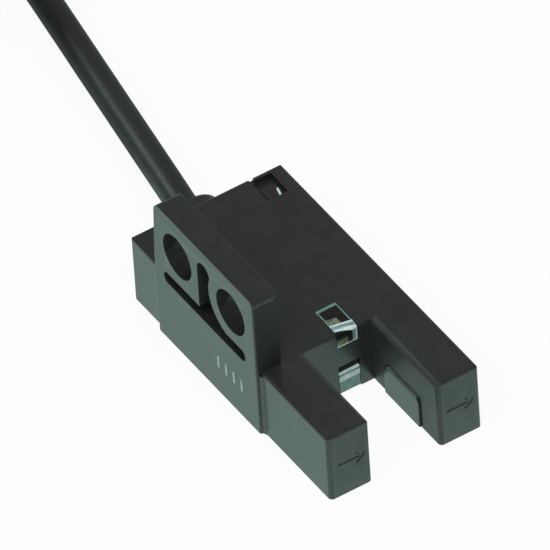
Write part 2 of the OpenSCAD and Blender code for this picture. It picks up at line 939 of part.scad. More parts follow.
module cable_tail() {
    color("#1f2122")
        tube(tail_points, cable_r, cord_sides);
}

module brown_tail() {
    color("#6b4226")
        tube(tail_core(0), core_r, core_sides);
}

module blue_tail() {
    color("#2c4f9e")
        tube(tail_core(1), core_r, core_sides);
}

module black_tail() {
    color("#1b1b1c")
        tube(tail_core(2), core_r, core_sides);
}

module white_tail() {
    color("#e6e4dd")
        tube(tail_core(3), core_r, core_sides);
}

// Bare tinned ends of the four cores
module core_tips() {
    color("#c8c9c8")
        for (i = [0 : 3]) {
            line = tail_core(i);
            end = line[len(line) - 1];
            ahead = heading(line, len(line) - 1);
            tube([end, end + tip_l * ahead], tip_d / 2, core_sides);
        }
}

housing();
base_cover();
light_guide();
indicator_lens();
emitter_window();
receiver_window();
circuit_board();
emitter();
emitter_leads();
receiver();
receiver_leads();
driver_chip();
output_transistor();
protection_diode();
chip_resistors();
chip_capacitors();
guide_led();
indicator_led();
solder_joints();
cable_root();
crimp_ring();
brown_core();
blue_core();
black_core();
white_core();
cable();
cable_coil();
coil_tie();
cable_tail();
brown_tail();
blue_tail();
black_tail();
white_tail();
core_tips();
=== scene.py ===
# %% [markdown]
# # A slotted optical switch
# The object is a small fork-shaped light barrier: a black moulded body with a slot, an upright
# screw ear on one side, a clear light guide at the slot's base and a thin round cable.
# The CAD model gives every shape its place, so this lesson loads it as a fixed frame and then
# works as a model maker does: first the camera, then the cable, then one piece after another.

# %% Load the frame
import math

import bpy
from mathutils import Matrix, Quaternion, Vector


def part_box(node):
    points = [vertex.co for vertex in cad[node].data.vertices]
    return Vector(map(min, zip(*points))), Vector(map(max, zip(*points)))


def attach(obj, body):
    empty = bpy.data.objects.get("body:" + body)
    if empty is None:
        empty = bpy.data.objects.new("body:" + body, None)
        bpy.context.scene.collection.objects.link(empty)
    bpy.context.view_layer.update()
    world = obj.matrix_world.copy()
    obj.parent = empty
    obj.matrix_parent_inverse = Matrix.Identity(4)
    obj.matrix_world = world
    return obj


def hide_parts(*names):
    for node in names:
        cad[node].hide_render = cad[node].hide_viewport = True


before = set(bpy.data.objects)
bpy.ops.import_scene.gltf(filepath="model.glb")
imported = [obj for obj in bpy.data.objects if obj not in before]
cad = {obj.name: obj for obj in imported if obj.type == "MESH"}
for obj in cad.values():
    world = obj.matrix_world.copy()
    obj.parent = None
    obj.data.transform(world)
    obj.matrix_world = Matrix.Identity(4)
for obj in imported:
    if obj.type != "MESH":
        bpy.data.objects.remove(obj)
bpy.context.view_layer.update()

MM = 0.001

# %% [markdown]
# ## The camera
# A catalogue picture of a part this small is taken with a long lens from well above, so its
# edges stay almost parallel. The camera could be placed by eye, but the edges of the body in
# the picture fix it better: it looks down at 44 degrees from the front left, a little rolled.
# A distance of 1.5 m and a very long lens give the same flat perspective.

# %% Camera
aim = Vector((-0.584, 2.255, 5.963)) * MM
camera_distance = 1500 * MM
frame_width = 33.86 * MM
azimuth, elevation, roll = (math.radians(a) for a in (-30.49, 44.13, -3.915))
to_camera = Vector((
    math.sin(azimuth) * math.cos(elevation),
    -math.cos(azimuth) * math.cos(elevation),
    math.sin(elevation),
))
turn = (-to_camera).to_track_quat("-Z", "Y") @ Quaternion((0, 0, 1), roll)
bpy.ops.object.select_all(action="DESELECT")
bpy.ops.object.camera_add(location=aim + camera_distance * to_camera, rotation=turn.to_euler())
camera = bpy.context.object
camera.name = "catalogue_camera"
camera.data.sensor_width = 36
camera.data.lens = camera.data.sensor_width * camera_distance / frame_width
camera.data.clip_start = 10 * MM
bpy.context.scene.camera = camera
bpy.context.scene.view_settings.view_transform = "Standard"
print(f"camera lens {camera.data.lens:.1f} mm")

# %% [markdown]
# ## The cable's route
# Sensors of this kind have about one metre of thin round cable. It leaves the collar straight, sinks
# to the table and would lie far out of the picture, so it is wound into a small coil just outside it.
# A simulation could drop it there, but a coil of neat turns is easier to write down: each turn
# keeps its radius and height, and changes to the next place in a short smooth step.
# Where one turn climbs to the next layer, its neighbour has to move away a little earlier,
# so each layer's steps come some degrees sooner than those of the layer below it.

# %% Places of the turns
root_low, root_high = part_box("cable_root")
cable_r = (root_high.z - root_low.z) / 2
cable_d = 2 * cable_r
cable_exit = Vector(((root_low.x + root_high.x) / 2, root_high.y, (root_low.z + root_high.z) / 2))
coil_low, coil_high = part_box("cable_coil")
coil_mid = (coil_low + coil_high) / 2
turns_wide, turns_high = 3, 5
outer_turn = (coil_high.x - coil_low.x) / 2 - cable_r
# the incoming cable is turned this far from the Y axis
veer = math.radians(9)

places = []
for row in range(turns_high):
    order = range(turns_wide) if row % 2 == 0 else reversed(range(turns_wide))
    for column in order:
        places.append((outer_turn - column * cable_d, coil_low.z + cable_r + row * cable_d))

step_angle, lead_angle = 45, 20
steps = [360 - step_angle]
for i in range(1, len(places) - 1):
    climbs = any(places[k][1] != places[k + 1][1] for k in (i - 1, i))
    steps.append(steps[-1] + 360 - (lead_angle if climbs else 0))
print(f"{len(places)} turns, the outer ones of {outer_turn / MM:.2f} mm radius")


# %% Points of the winding
def smooth_step(x):
    """0 below 0, 1 above 1, and a smooth change between."""
    x = min(max(x, 0), 1)
    return x * x * (3 - 2 * x)


def coil_point(wound, radius, height):
    """The point after that many degrees of winding, to the left from where the cable comes in."""
    angle = math.radians(wound) - veer
    return Vector((
        coil_mid.x + radius * math.cos(angle), coil_mid.y + radius * math.sin(angle), height
    ))


# the free end and its way there, in degrees of winding
tail_start, tail_sweep = 5190, 150
tail_end = tail_start + tail_sweep
climb_lead, inward_lead = 75, 60
tail_r = outer_turn - cable_d
tail_z = coil_high.z + cable_r


def wound_point(wound):
    """The middle of the cable after that many degrees of winding."""
    radius, height = places[0]
    for start, (r0, z0), (r1, z1) in zip(steps, places, places[1:]):
        done = smooth_step((wound - start) / step_angle)
        radius += (r1 - r0) * done
        height += (z1 - z0) * done
    climb = smooth_step((wound - tail_start + climb_lead) / step_angle)
    inward = smooth_step((wound - tail_start + inward_lead) / inward_lead)
    height += (tail_z - places[-1][1]) * climb
    radius += (tail_r - places[-1][0]) * inward
    return coil_point(wound, radius, height)


print(f"wound by {tail_end} degrees, the tail at {tail_r / MM:.2f} mm radius")

# %% [markdown]
# ## The cable itself
# A round jacket is one curve with a round section, so the cable is a Bezier curve with automatic
# handles, which stays smooth through every point. The first points repeat the CAD route from
# the collar's mouth. They start a little inside the collar, so that no gap shows there.

# %% Points of the cable
run_to_coil = [
    (0, -0.2, 0), (0, 0.5, 0), (0.1, 1.4, -0.01), (0.3, 2.6, -0.04), (0.63, 4.5, -0.14), (1.07, 7, -0.3),
    (1.62, 10, -0.55), (2.19, 13, -0.85), (2.74, 16, -1.1), (3.27, 19, -1.28), (3.77, 22, -1.4),
    (4.25, 25, -1.48), (4.71, 28, -1.5), (5.12, 31, -1.4),
]
route = [cable_exit + Vector(p) * MM for p in run_to_coil]
entry = coil_point(0, *places[0])
run_in_mm = 3
run_in = Vector((math.sin(veer), math.cos(veer), 0)) * run_in_mm * MM
route.append(entry - run_in)
point_step = 15
route += [wound_point(wound) for wound in range(0, tail_end + 1, point_step)]
cable_length = sum((b - a).length for a, b in zip(route, route[1:]))
print(f"cable of {len(route)} points, {cable_length:.3f} m")


# %% Cable curve
def curve_piece(name, lines, radius, around, along):
    """A round-section curve object through each line of points."""
    data = bpy.data.curves.new(name, "CURVE")
    data.dimensions = "3D"
    data.bevel_depth = radius
    data.bevel_resolution = around
    data.resolution_u = along
    data.use_fill_caps = True
    for line in lines:
        spline = data.splines.new("BEZIER")
        spline.bezier_points.add(len(line) - 1)
        for knot, place in zip(spline.bezier_points, line):
            knot.co = place
            knot.handle_left_type = knot.handle_right_type = "AUTO"
    piece = bpy.data.objects.new(name, data)
    bpy.context.collection.objects.link(piece)
    return piece


cable = curve_piece("cable_jacket", [route], cable_r, around=4, along=3)
print(f"cable curve of {2 * cable.data.bevel_depth / MM:.2f} mm diameter")

# %% [markdown]
# ## The stripped end
# At the far end the jacket is cut off and four coloured cores come out, fan out and lie down on
# the coil, each with a few millimetres of twisted bare strands. The cores follow the CAD points.
# A plain rod would do for the bare ends, but seven fine strands with a twist read as wire.

# %% Cores of the stripped end
core_r, core_gap = 0.25 * MM, 0.12 * MM
bundle_half = (2 * core_r + core_gap) / math.sqrt(2)
bundle = [(-bundle_half, 0), (0, -bundle_half), (0, bundle_half), (bundle_half, 0)]
bundle_middle = (len(bundle) - 1) / 2
core_length = 9 * MM
core_spread = 1.2 * MM
tail_point = coil_point(tail_end, tail_r, tail_z)
tail_ahead = (tail_point - coil_point(tail_end - 1, tail_r, tail_z)).normalized()
tail_side = Vector((0, 0, 1)).cross(tail_ahead).normalized()
# shares of a core's length, and how far it has fallen on the coil by then
core_shares = [(0.25, 0.4), (0.4, 0.8), (0.55, 1), (0.8, 1), (1, 1)]


def core_line(i):
    """Points of one core, from inside the jacket's end to where its insulation stops."""
    side, up = bundle[i]
    start = tail_point + side * tail_side + Vector((0, 0, up))
    line = [start - 2 * core_r * tail_ahead, start, start + 2 * core_r * tail_ahead]
    for share, fallen in core_shares:
        radius = tail_r - side * (1 - fallen) - (i - bundle_middle) * core_spread * fallen
        wound = tail_end + math.degrees(share * core_length / tail_r)
        height = (cable_r + up) * (1 - fallen) + core_r * fallen
        line.append(coil_point(wound, radius, coil_high.z + height))
    return line


core_colours = ["brown", "blue", "black", "white"]
core_lines = [core_line(i) for i in range(len(core_colours))]
core_ends = {
    colour: curve_piece(f"core_end_{colour}", [line], core_r, around=3, along=6)
    for colour, line in zip(core_colours, core_lines)
}
print("core ends:", ", ".join(core_ends))

# %% Bare strands
tip_length = 3 * MM
strand_r = 0.05 * MM
strand_count, strand_points = 7, 9
strand_turns = 0.8
strand_tuck = 0.2 * MM
shorter_by = 0.03
strand_lines = []
for line in core_lines:
    ahead = (line[-1] - line[-2]).normalized()
    aside = ahead.cross(Vector((0, 0, 1))).normalized()
    upward = aside.cross(ahead)
    for strand in range(strand_count):
        off = 0 if strand == strand_count - 1 else 2 * strand_r
        twisted = []
        for k in range(strand_points):
            share = k / (strand_points - 1)
            angle = math.tau * (strand / (strand_count - 1) + strand_turns * share)
            reach = tip_length * share * (1 - shorter_by * (strand % 3))
            twisted.append(
                line[-1] + ahead * (reach - strand_tuck)
                + off * (math.cos(angle) * aside + math.sin(angle) * upward)
            )
        strand_lines.append(twisted)
strands = curve_piece("bare_strands", strand_lines, strand_r, around=1, along=3)
print(f"{len(strand_lines)} strands")

# %% [markdown]
# ## A bench for small pieces
# Bevels and cuts here are a few hundredths of a millimetre, which is below the tolerance of
# Blender's own tools when a unit is a metre. So each piece is worked on at a thousand times its
# size, where one unit is a millimetre, and is brought back to its true size when it is done.
# The copy of a CAD node is loose triangles, so it is welded, and its flat faces are made whole.

# %% Bench helpers
flat_angle = math.radians(0.5)
weld_distance = 0.0005


def pick(piece):
    """Makes one object the only selected and active one."""
    bpy.ops.object.select_all(action="DESELECT")
    piece.select_set(True)
    bpy.context.view_layer.objects.active = piece


def rescale(piece, factor):
    """Scales the mesh of a piece about the origin."""
    pick(piece)
    piece.scale = (factor, factor, factor)
    bpy.ops.object.transform_apply(location=True, rotation=True, scale=True)


def weld(piece, distance):
    """Merges points that are closer than that and makes flat faces whole."""
    pick(piece)
    bpy.ops.object.mode_set(mode="EDIT")
    bpy.ops.mesh.select_all(action="SELECT")
    bpy.ops.mesh.remove_doubles(threshold=distance)
    bpy.ops.mesh.dissolve_limited(angle_limit=flat_angle)
    bpy.ops.object.mode_set(mode="OBJECT")


def bench_copy(node, name):
    """A welded copy of a CAD node, a thousand times as large."""
    piece = bpy.data.objects.new(name, cad[node].data.copy())
    bpy.context.collection.objects.link(piece)
    piece.data.materials.clear()
    rescale(piece, 1 / MM)
    bpy.ops.mesh.customdata_custom_splitnormals_clear()
    weld(piece, weld_distance)
    return piece


print(f"bench ready, points closer than {weld_distance} mm are welded")

# %% [markdown]
# ### Soft edges and handing over
# No moulded edge is perfectly sharp, and an edge without a radius catches no light. The edges could
# be picked by hand, but a bevel that goes by angle finds them all, and weighted normals then keep
# the flat faces even. A finished piece is handed over: it gets its finish, rides on the part
# and stands for its CAD nodes.

# %% Soft edges and handing over
sharp_angle = math.radians(40)


def soften(piece, width, segments):
    """Rounds the sharp edges of a bench piece and shades its curved faces smooth."""
    pick(piece)
    bevel = piece.modifiers.new("soft_edges", "BEVEL")
    bevel.limit_method = "ANGLE"
    bevel.angle_limit = sharp_angle
    bevel.width = width
    bevel.segments = segments
    bevel.miter_outer = "MITER_ARC"
    bevel.use_clamp_overlap = True
    bpy.ops.object.modifier_apply(modifier=bevel.name)
    bpy.ops.object.shade_smooth_by_angle(angle=sharp_angle)
    flat = piece.modifiers.new("flat_faces", "WEIGHTED_NORMAL")
    flat.keep_sharp = True
    bpy.ops.object.modifier_apply(modifier=flat.name)


def hand_over(piece, finish, slot, *replaced):
    """Puts a finish on a piece, lets it ride on the part and stand for its CAD nodes."""
    piece.data.materials.clear()
    piece.data.materials.append(finish)
    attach(piece, "root")
    if replaced:
        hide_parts(*replaced)


print(f"edges sharper than {math.degrees(sharp_angle):.0f} degrees are softened")

# %% [markdown]
# ## Finishes
# Nearly all of the object is moulded plastic: close to black, slightly grey-green, with a very fine
# grain from the tool. Flat colours look like paper cut-outs, so each finish here mixes two
# close tones in soft blotches and lets a fine noise change both the gloss and the surface.
# The noise reads Object coordinates in metres, so a grain of 0.05 mm needs a scale of 20,000.

# %% Finish helper
blotch_range, grain_range = (0.35, 0.65), (0.3, 0.7)


def noise(tree, size):
    """A noise pattern with features of that size in millimetres, on Object coordinates."""
    place = tree.nodes.new("ShaderNodeTexCoord")
    pattern = tree.nodes.new("ShaderNodeTexNoise")
    pattern.inputs["Scale"].default_value = 1 / (size * MM)
    pattern.inputs["Detail"].default_value = 3
    tree.links.new(place.outputs["Object"], pattern.inputs["Vector"])
    return pattern.outputs["Fac"]


def grained(name, tones, gloss, grain, depth, blotch=1.5, sockets=None):
    """A finish of two tones in blotches, with grain in its roughness and height."""
    finish = bpy.data.materials.new(name)
    finish.use_nodes = True
    tree = finish.node_tree
    shader = tree.nodes["Principled BSDF"]
    tint = tree.nodes.new("ShaderNodeValToRGB")
    for stop, place, tone in zip(tint.color_ramp.elements, blotch_range, tones):
        stop.position = place
        stop.color = (*tone, 1)
    tree.links.new(noise(tree, blotch), tint.inputs["Fac"])
    tree.links.new(tint.outputs["Color"], shader.inputs["Base Color"])
    fine = noise(tree, grain)
    rough = tree.nodes.new("ShaderNodeMapRange")
    for end, value, roughness in zip(("Min", "Max"), grain_range, gloss):
        rough.inputs[f"From {end}"].default_value = value
        rough.inputs[f"To {end}"].default_value = roughness
    tree.links.new(fine, rough.inputs["Value"])
    tree.links.new(rough.outputs["Result"], shader.inputs["Roughness"])
    bump = tree.nodes.new("ShaderNodeBump")
    bump.inputs["Strength"].default_value = 1
    bump.inputs["Distance"].default_value = depth * MM
    tree.links.new(fine, bump.inputs["Height"])
    tree.links.new(bump.outputs["Normal"], shader.inputs["Normal"])
    for socket, value in (sockets or {}).items():
        shader.inputs[socket].default_value = value
    print(f"{name}: roughness {gloss[0]} to {gloss[1]}, grain {grain} mm")
    return finish


print("finish helper ready")

# %% Finishes of the black pieces
black_tones = [(0.0175, 0.0208, 0.0183), (0.0215, 0.0252, 0.0223)]
black_moulding = grained(
    "black_moulding", black_tones,
    gloss=(0.24, 0.32), grain=0.07, depth=0.0015, sockets={"IOR": 1.6},
)
coarse_moulding = grained(
    "coarse_moulding", black_tones,
    gloss=(0.6, 0.72), grain=0.07, depth=0.003,
)
# painted light: the slot walls' lighter tone stands in for light falling on them; their dullness is real
painted_light_slot_moulding = grained(
    "painted_light_slot_moulding", [(0.023, 0.026, 0.0235), (0.028, 0.031, 0.0285)],
    gloss=(0.42, 0.5), grain=0.07, depth=0.0015, sockets={"IOR": 1.53},
)
# painted highlight: the slot's rounded edges are paler where they would catch light
painted_highlight_slot_edge_moulding = grained(
    "painted_highlight_slot_edge_moulding", [(0.045, 0.053, 0.048), (0.056, 0.065, 0.059)],
    gloss=(0.5, 0.6), grain=0.07, depth=0.002,
)
# painted highlight: a paler tone on the windows' upper edge, where the room's light catches it
painted_highlight_window_edge_moulding = grained(
    "painted_highlight_window_edge_moulding", [(0.075, 0.095, 0.09), (0.1, 0.125, 0.12)],
    gloss=(0.3, 0.4), grain=0.07, depth=0.001,
)
cover_moulding = grained(
    "cover_moulding", [(0.011, 0.0135, 0.0125), (0.015, 0.018, 0.0168)],
    gloss=(0.46, 0.6), grain=0.08, depth=0.003,
)
filter_moulding = grained(
    "filter_moulding", [(0.0175, 0.0203, 0.0183), (0.0215, 0.0245, 0.0223)],
    gloss=(0.2, 0.28), grain=0.1, depth=0.001, sockets={"IOR": 1.48},
)
jacket = grained(
    "cable_jacket_finish", [(0.0175, 0.0195, 0.0172), (0.0215, 0.0235, 0.021)],
    gloss=(0.42, 0.5), grain=0.12, depth=0.0004, sockets={"IOR": 1.45},
)
band_plastic = grained(
    "band_plastic", [(0.014, 0.014, 0.015), (0.02, 0.02, 0.021)],
    gloss=(0.4, 0.55), grain=0.1, depth=0.003,
)

# %% [markdown]
# ### Clear and pale finishes
# The light guide and the rear lens are clear plastic, and clear plastic shows what lies behind it.
# One glass finish could do for all of it, but then every pale or dark patch would hang on how the
# light happens to fall. So light and shade are painted, with one finish for each look that the clear
# pieces have: polished clear, a painted highlight, painted pale light, painted dim light, painted olive
# light, painted shade on the guide's hidden sides, and painted shade for the dark inside of the lens.
# The last finish here is the pale mark that a laser leaves in black plastic.

# %% Finishes of the clear pieces and the print
clear_moulding = grained(
    "clear_moulding", [(0.82, 0.96, 0.92), (0.9, 0.98, 0.96)],
    gloss=(0.02, 0.05), grain=0.3, depth=0.0005, blotch=0.8,
    sockets={"IOR": 1.58, "Transmission Weight": 1.0},
)
# painted highlight: the pale stripes where the guide gathers light, and the glint on the lens
painted_highlight_moulding = grained(
    "painted_highlight_moulding", [(0.5, 0.7, 0.68), (0.75, 0.92, 0.9)],
    gloss=(0.2, 0.35), grain=0.1, depth=0.002, blotch=0.25,
)
# painted pale light on the guide's front edge and right side
painted_pale_light_moulding = grained(
    "painted_pale_light_moulding", [(0.14, 0.23, 0.24), (0.26, 0.38, 0.38)],
    gloss=(0.12, 0.2), grain=0.2, depth=0.001, blotch=0.3,
)
# painted dim light: the guide's rims and lower front, lit through the clear plastic
painted_dim_light_moulding = grained(
    "painted_dim_light_moulding", [(0.1, 0.22, 0.19), (0.18, 0.32, 0.28)],
    gloss=(0.12, 0.2), grain=0.2, depth=0.001, blotch=0.4,
)
# painted olive light from the board below, on the guide's left part
painted_olive_light_moulding = grained(
    "painted_olive_light_moulding", [(0.09, 0.12, 0.06), (0.2, 0.25, 0.14)],
    gloss=(0.12, 0.2), grain=0.2, depth=0.001, blotch=0.3,
)
# painted shade: the guide's hidden sides, dark from the black housing behind them
painted_shade_backing = grained(
    "painted_shade_backing", [(0.012, 0.017, 0.015), (0.03, 0.036, 0.025)],
    gloss=(0.3, 0.45), grain=0.1, depth=0.002, blotch=0.55,
)
# painted shade: the clear lens looks dark because the inside behind it is dark, so its finish is opaque
# and dark
painted_dark_inside_moulding = grained(
    "painted_dark_inside_moulding", [(0.019, 0.021, 0.019), (0.027, 0.029, 0.026)],
    gloss=(0.16, 0.24), grain=0.2, depth=0.0005,
)
laser_mark = grained(
    "laser_mark", [(0.26, 0.44, 0.42), (0.38, 0.58, 0.55)],
    gloss=(0.5, 0.65), grain=0.06, depth=0.002, blotch=0.2,
)

# %% [markdown]
# ### Finishes of the electrical parts
# Inside are a board with green solder mask, tinned metal, cast resin, black epoxy and ceramic, and
# cores in the four colours that sensor cables have. One finish for each substance is enough, as
# the same tinned metal serves for leads, solder, crimp and strands.

# %% Finishes of the electrical parts
board_mask = grained(
    "board_mask", [(0.03, 0.17, 0.07), (0.045, 0.22, 0.095)],
    gloss=(0.25, 0.4), grain=0.12, depth=0.003,
)
emitter_resin = grained(
    "emitter_resin", [(0.42, 0.52, 0.62), (0.5, 0.6, 0.7)],
    gloss=(0.08, 0.16), grain=0.2, depth=0.001, blotch=0.8,
    sockets={"Transmission Weight": 0.5, "IOR": 1.54},
)
receiver_resin = grained(
    "receiver_resin", [(0.05, 0.036, 0.04), (0.07, 0.05, 0.056)],
    gloss=(0.1, 0.2), grain=0.2, depth=0.001, blotch=0.8,
)
tinned = grained(
    "tinned", [(0.66, 0.66, 0.63), (0.76, 0.76, 0.74)],
    gloss=(0.24, 0.42), grain=0.06, depth=0.003, blotch=0.3, sockets={"Metallic": 1.0},
)
chip_epoxy = grained(
    "chip_epoxy", [(0.016, 0.016, 0.018), (0.025, 0.025, 0.027)],
    gloss=(0.5, 0.7), grain=0.05, depth=0.004,
)
ceramic_tan = grained(
    "ceramic_tan", [(0.4, 0.26, 0.15), (0.5, 0.34, 0.21)],
    gloss=(0.35, 0.5), grain=0.06, depth=0.003, blotch=0.3,
)
lamp_resin = grained(
    "lamp_resin", [(0.76, 0.74, 0.56), (0.84, 0.82, 0.68)],
    gloss=(0.15, 0.3), grain=0.1, depth=0.002, blotch=0.4,
)

# %% Finishes of the cores
core_tones = {
    "brown": [(0.14, 0.055, 0.02), (0.18, 0.075, 0.03)],
    "blue": [(0.025, 0.08, 0.32), (0.035, 0.1, 0.38)],
    "black": [(0.012, 0.012, 0.013), (0.018, 0.018, 0.019)],
    "white": [(0.74, 0.73, 0.69), (0.82, 0.81, 0.77)],
}
core_finishes = {
    colour: grained(f"core_{colour}_finish", tones, gloss=(0.35, 0.5), grain=0.08, depth=0.003, blotch=0.6)
    for colour, tones in core_tones.items()
}

# %% [markdown]
# ## Handing over the cable
# The curve now gets its jacket finish and takes the place of the three CAD solids that held its
# room, and the cores and strands take the place of theirs. The plain solids could be left and hidden
# one by one, but saying which piece stands for which node keeps the two models together.

# %% Hand over the cable and its end
hand_over(cable, jacket, "cable_jacket", "cable", "cable_coil", "cable_tail")
for colour, piece in core_ends.items():
    hand_over(piece, core_finishes[colour], f"core_{colour}", f"{colour}_tail")
hand_over(strands, tinned, "tinned_metal", "core_tips")
print(f"cable, {len(core_ends)} core ends and the strands handed over")

# %% [markdown]
# ## The housing
# The housing is one moulding with fork, ear and collar. Its CAD shape is right, so it isn't built
# again: a copy gets what a mould gives every edge, a very small radius. The two prong ends
# carry a shallow moulded arrow each, which shows the way of the light across the slot, from the
# lamp's prong to the other one. It could be painted on with a texture, but a shallow cut catches
# light as the real one does. Each stroke is a bar with rounded ends, and is cut out of the copy.

# %% Tools for the arrows
housing = bench_copy("housing", "housing_moulding")
mark_depth = 0.07
stroke_w, stroke_end_r = 0.24, 0.06
tip_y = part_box("housing")[0].y / MM


def carve(piece, cutter):
    """Cuts one bench piece out of another one and takes the cutter away."""
    pick(piece)
    cut = piece.modifiers.new("cut", "BOOLEAN")
    cut.operation = "DIFFERENCE"
    cut.solver = "EXACT"
    cut.object = cutter
    bpy.ops.object.modifier_apply(modifier=cut.name)
    bpy.data.objects.remove(cutter)


def stroke(name, middle, length, angle):
    """One bar of a mark, lying in the tip's face, with rounded ends."""
    bpy.ops.object.select_all(action="DESELECT")
    bpy.ops.mesh.primitive_cube_add(size=1, location=(0, 0, 0))
    bar = bpy.context.object
    bar.name = name
    bar.scale = (length, 2 * mark_depth, stroke_w)
    bpy.ops.object.transform_apply(location=False, rotation=False, scale=True)
    ends = bar.modifiers.new("round_ends", "BEVEL")
    ends.limit_method = "NONE"
    ends.width = stroke_end_r
    ends.segments = 3
    bpy.ops.object.modifier_apply(modifier=ends.name)
    bar.rotation_euler = (0, angle, 0)
    bar.location = middle
    bpy.ops.object.transform_apply(location=True, rotation=True, scale=True)
    return bar


print(f"strokes {mark_depth} mm deep on the face at {tip_y:.2f} mm")

# %% Arrows on the prong ends
mark_x, mark_z = 4.0, 2.65
nose_x, shaft_l, head_l = 1.0, 1.9, 0.75
head_angle = math.radians(38)
for side in (-1, 1):
    nose = Vector((side * mark_x + nose_x, tip_y, mark_z))
    bars = [stroke("arrow_shaft", nose - Vector((shaft_l / 2, 0, 0)), shaft_l, 0)]
    for sign in (-1, 1):
        back = Vector((-math.cos(head_angle), 0, sign * math.sin(head_angle))) * head_l / 2
        bars.append(stroke("arrow_head", nose + back, head_l, sign * head_angle))
    for bar in bars:
        carve(housing, bar)
print(f"housing with marks: {len(housing.data.polygons)} faces")

# %% [markdown]
# ### Round corners at the slot base
# The slot's upper edges are rounded. In the CAD solid the rounding ends square at the slot's base,
# which leaves a small nick in each corner, and on the real moulding it runs round the corner.
# A bevel could be led round there edge by edge. One cut is simpler: the cutter is a
# trumpet, a short cylinder with a ring taken off it, and is a little flattened along the slot.

# %% Round corners at the slot base
slot_half, slot_edge_r = 2.5, 0.4
slot_base_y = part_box("light_guide")[0].y / MM
roof_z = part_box("light_guide")[1].z / MM
overrun = 0.2
stock_h = slot_edge_r + overrun
# slightly less than the rounding, because a ring needs a hole
ring_r = slot_edge_r * 0.998
flattened = 0.75
corner_weld = 0.002
for side in (-1, 1):
    bpy.ops.object.select_all(action="DESELECT")
    bpy.ops.mesh.primitive_cylinder_add(vertices=48, radius=slot_edge_r, depth=stock_h)
    stock = bpy.context.object
    stock.name = "corner_stock"
    stock.location.z = stock_h / 2
    bpy.ops.object.select_all(action="DESELECT")
    bpy.ops.mesh.primitive_torus_add(
        major_segments=48, minor_segments=32, major_radius=slot_edge_r, minor_radius=ring_r
    )
    carve(stock, bpy.context.object)
    stock.scale.y = flattened
    stock.location += Vector((side * slot_half, slot_base_y, roof_z - slot_edge_r))
    carve(housing, stock)
weld(housing, corner_weld)
print(f"housing with round corners: {len(housing.data.polygons)} faces")

# %% [markdown]
# ### Finishes of the housing
# The moulding isn't equally bright all over: the ear's front and back edges and the slot's walls are
# duller than the rest. The slot's walls also carry painted light, a lighter tone, and its rounded edges
# a painted highlight, a paler tone. The copy could be split into pieces for this, but one moulding
# stays one piece, and each face gets its finish by place and direction.

# %% Soften and hand over the housing
soften(housing, width=0.03, segments=2)
hand_over(housing, black_moulding, "housing_black", "housing")
for finish in (coarse_moulding, painted_light_slot_moulding, painted_highlight_slot_edge_moulding):
    housing.data.materials.append(finish)
# the slot walls' finish carries painted light, and the slot edges' finish a painted highlight
SATIN, COARSE, PAINTED_LIGHT_SLOT_WALL, PAINTED_HIGHLIGHT_SLOT_EDGE = range(4)
# how much of a face's unit normal has to lie along an axis, at least or at most
edge_on, level, tilted = 0.8, 0.15, 0.2


def housing_finish(middle, normal):
    """Which finish a face of the housing has, by its place and direction."""
    if middle.z > roof_z:
        return COARSE if abs(normal.y) > edge_on and normal.z < level else SATIN
    in_slot = abs(middle.x) < slot_half + slot_edge_r and middle.y < slot_base_y
    if not in_slot or abs(normal.x) < tilted:
        return SATIN
    return PAINTED_HIGHLIGHT_SLOT_EDGE if normal.z > tilted else PAINTED_LIGHT_SLOT_WALL


for face in housing.data.polygons:
    face.material_index = housing_finish(face.center, face.normal)
rescale(housing, MM)
print(f"housing: {len(housing.data.polygons)} faces in {len(housing.data.materials)} finishes")

# %% [markdown]
# ## The small mouldings
# The two slot windows and the cover are mouldings of their own, and their CAD shapes fit their
# seats, so modelling them anew would only risk that fit. A copy gets rounded edges. Those of
# the windows are rounder than the housing's, and their upper edge is the one that catches the
# light of the room, so it gets a painted highlight, a paler finish.

# %% Windows and cover
# a face looks along an axis if this much of its unit normal does
facing = 0.3
small_mouldings = [
    ("emitter_window", "emitter_window_moulding", 0.09, filter_moulding, "filter_plastic"),
    ("receiver_window", "receiver_window_moulding", 0.09, filter_moulding, "filter_plastic"),
    ("base_cover", "base_cover_moulding", 0.05, cover_moulding, "cover_black"),
]
for node, name, radius, finish, slot in small_mouldings:
    piece = bench_copy(node, name)
    soften(piece, width=radius, segments=3)
    rescale(piece, MM)
    hand_over(piece, finish, slot, node)
    if finish is filter_moulding:
        piece.data.materials.append(painted_highlight_window_edge_moulding)
        # the upward faces of the windows' upper edge get the painted highlight
        for face in piece.data.polygons:
            face.material_index = int(face.normal.z > facing and abs(face.normal.y) < facing)
    print(f"{name}: {len(piece.data.polygons)} faces")

# %% [markdown]
# ## The light guide
# The guide is one clear piece, but it doesn't look clear all over. Its hidden sides lie against the
# black housing, so through the polished faces one looks into a dark room, and these sides are painted
# with that shade. Its rims, the bend at the front and the lower step gather the light and show as pale
# stripes, which are painted as highlights and as pale and dim light, and here and there an olive light
# from the board below is painted on. Real light paths could be traced for this, but finishes painted
# with this light and shade on the right faces show the same and cost nothing, so the faces are first cut
# there.

# %% Cut and soften the guide
def cut_faces(piece, cuts):
    """Cuts the faces of a piece along planes, each given by a point and a direction."""
    pick(piece)
    bpy.ops.object.mode_set(mode="EDIT")
    for place, direction in cuts:
        bpy.ops.mesh.select_all(action="SELECT")
        bpy.ops.mesh.bisect(plane_co=place, plane_no=direction)
    bpy.ops.object.mode_set(mode="OBJECT")


